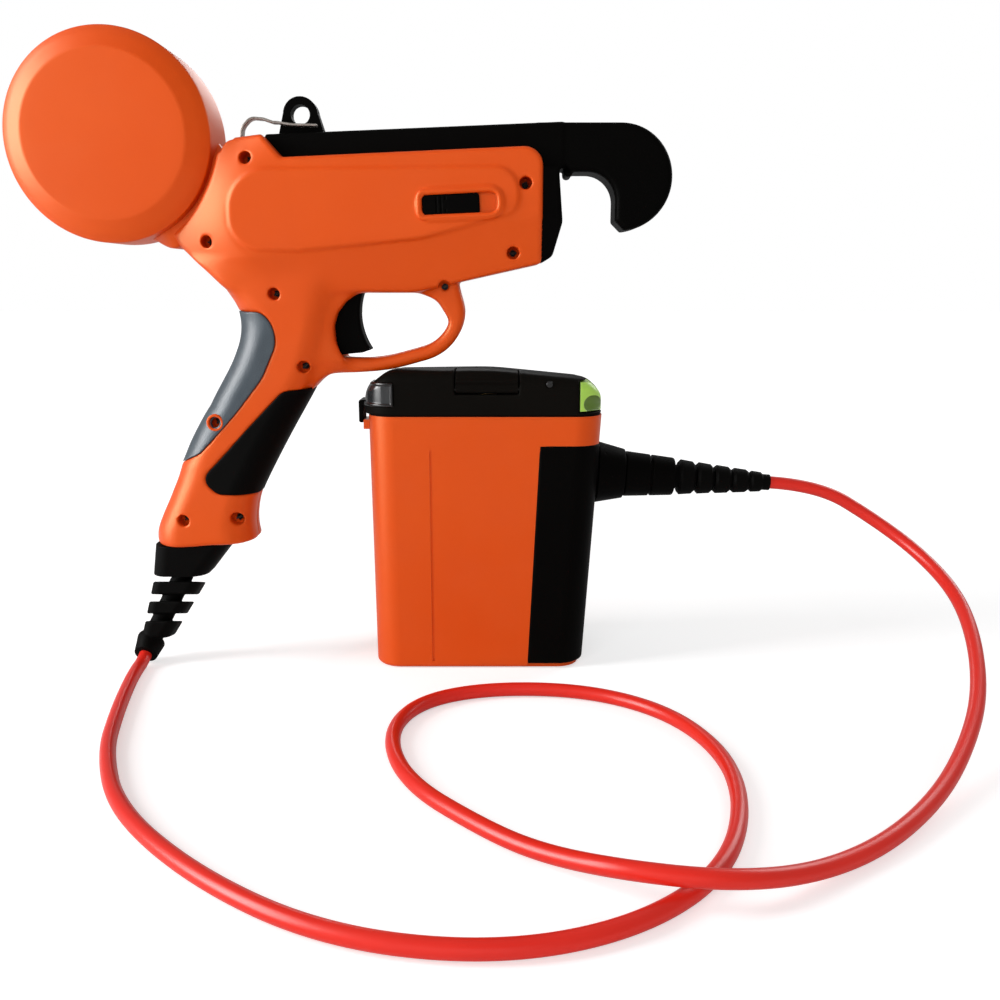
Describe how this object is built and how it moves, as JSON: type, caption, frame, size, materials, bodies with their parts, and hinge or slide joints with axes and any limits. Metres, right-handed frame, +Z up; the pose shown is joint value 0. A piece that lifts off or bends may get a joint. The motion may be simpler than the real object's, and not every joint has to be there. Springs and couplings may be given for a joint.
{
  "type": "electric vine tying tool",
  "caption": "Pistol-shaped cordless vine tying tool with a round ribbon drum, tying hook, trigger grip, and a corded belt battery pack that it leans on.",
  "frame": {"origin": "centre of the battery pack's base, on the floor", "axes": "+X along the tool towards its hook, +Y away from the viewer across the tool's thickness, +Z up"},
  "size_m": [0.4822, 0.3089, 0.3275],
  "materials": {
    "orange_plastic": "satin moulded",
    "black_plastic": "fine grained",
    "grey_rubber": "matt",
    "black_rubber": "matt",
    "plug_plastic": "satin",
    "red_jacket": "glossy",
    "green_plastic": "satin",
    "dark_window": "polished",
    "clear_lens": "polished",
    "clip_plastic": "satin",
    "white_plastic": "plain",
    "dark_steel": "blackened",
    "steel": "bright",
    "paper_ribbon": "wire cored paper",
    "board_green": "circuit board",
    "cell_wrap": "sleeved",
    "port_brass": "plated"
  },
  "bodies": {
    "tool_body": {"left_housing": "orange_plastic", "right_housing": "orange_plastic", "housing_screws": "dark_steel", "rear_grip": "grey_rubber", "front_grip": "black_rubber", "hook_frame": "black_plastic", "hanging_eye": "black_plastic", "drum_case": "orange_plastic", "spool_axle": "steel", "tie_ribbon": "paper_ribbon", "trigger_pin": "steel", "trigger_spring": "steel", "trigger_switch": "black_plastic", "slide_switch": "black_plastic", "control_board": "board_green", "twist_motor": "steel", "feed_motor": "steel", "pinch_pin": "steel", "cable_boot": "black_rubber", "battery_case": "orange_plastic", "battery_side_panel": "black_plastic", "battery_cap": "black_plastic", "cap_seal": "black_rubber", "port_cover_pin": "steel", "charge_port": "port_brass", "button_spring": "steel", "level_window": "dark_window", "status_lens": "clear_lens", "strap_clip": "clip_plastic", "battery_cells": "cell_wrap", "cell_holders": "white_plastic", "battery_board": "board_green", "battery_socket": "black_plastic", "plug_body": "plug_plastic", "plug_boot": "black_rubber", "power_cable": "red_jacket"},
    "trigger": {"trigger": "black_plastic"},
    "mode_slider": {"mode_slider": "black_plastic"},
    "drum_cover": {"drum_cover": "orange_plastic"},
    "spool": {"spool": "white_plastic", "ribbon_roll": "paper_ribbon"},
    "feed_roller": {"feed_roller": "steel"},
    "pinch_roller": {"pinch_roller": "black_rubber"},
    "twist_head": {"twist_head": "steel"},
    "port_cover": {"port_cover": "black_plastic"},
    "release_button": {"release_button": "green_plastic"},
    "plug_ring": {"plug_ring": "plug_plastic"}
  },
  "joints": [
    {"name": "trigger_pull", "type": "hinge", "parent": "tool_body", "child": "trigger", "pos_m": [-0.072, -0.017, 0.208], "axis": [0, 1, 0], "range_deg": [0, 10], "stiffness_Nm_per_rad": 0.3, "springref_deg": -11.46},
    {"name": "mode_slide", "type": "slide", "parent": "tool_body", "child": "mode_slider", "axis": [0.999, 0, 0.0436], "range_m": [0, 0.009]},
    {"name": "cover_pull", "type": "slide", "parent": "tool_body", "child": "drum_cover", "axis": [0, -1, 0], "range_m": [0, 0.05]},
    {"name": "spool_spin", "type": "hinge", "parent": "tool_body", "child": "spool", "pos_m": [-0.1833, -0.017, 0.2767], "axis": [0, 1, 0], "continuous": true},
    {"name": "feed_spin", "type": "hinge", "parent": "tool_body", "child": "feed_roller", "pos_m": [-0.062, -0.017, 0.244], "axis": [0, 1, 0], "continuous": true},
    {"name": "pinch_spin", "type": "hinge", "parent": "tool_body", "child": "pinch_roller", "pos_m": [-0.062, -0.017, 0.2581], "axis": [0, 1, 0], "continuous": true},
    {"name": "twist_spin", "type": "hinge", "parent": "tool_body", "child": "twist_head", "pos_m": [0.0335, -0.017, 0.243], "axis": [1, 0, 0], "continuous": true},
    {"name": "port_cover_fold", "type": "hinge", "parent": "tool_body", "child": "port_cover", "pos_m": [0.00225, -0.03055, 0.1527], "axis": [1, 0, 0], "range_deg": [0, 90]},
    {"name": "button_press", "type": "slide", "parent": "tool_body", "child": "release_button", "axis": [0, 1, 0], "range_m": [0, 0.0025], "stiffness_N_per_m": 800, "springref_m": -0.002, "deforming": ["button_spring"]},
    {"name": "ring_turn", "type": "hinge", "parent": "tool_body", "child": "plug_ring", "pos_m": [0.06076, 0, 0.104], "axis": [0.998, 0, -0.0628], "range_deg": [0, 90]}
  ],
  "couplings": [
    {"joint": "pinch_spin", "follows": "feed_spin", "ratio": -1.7}
  ]
}
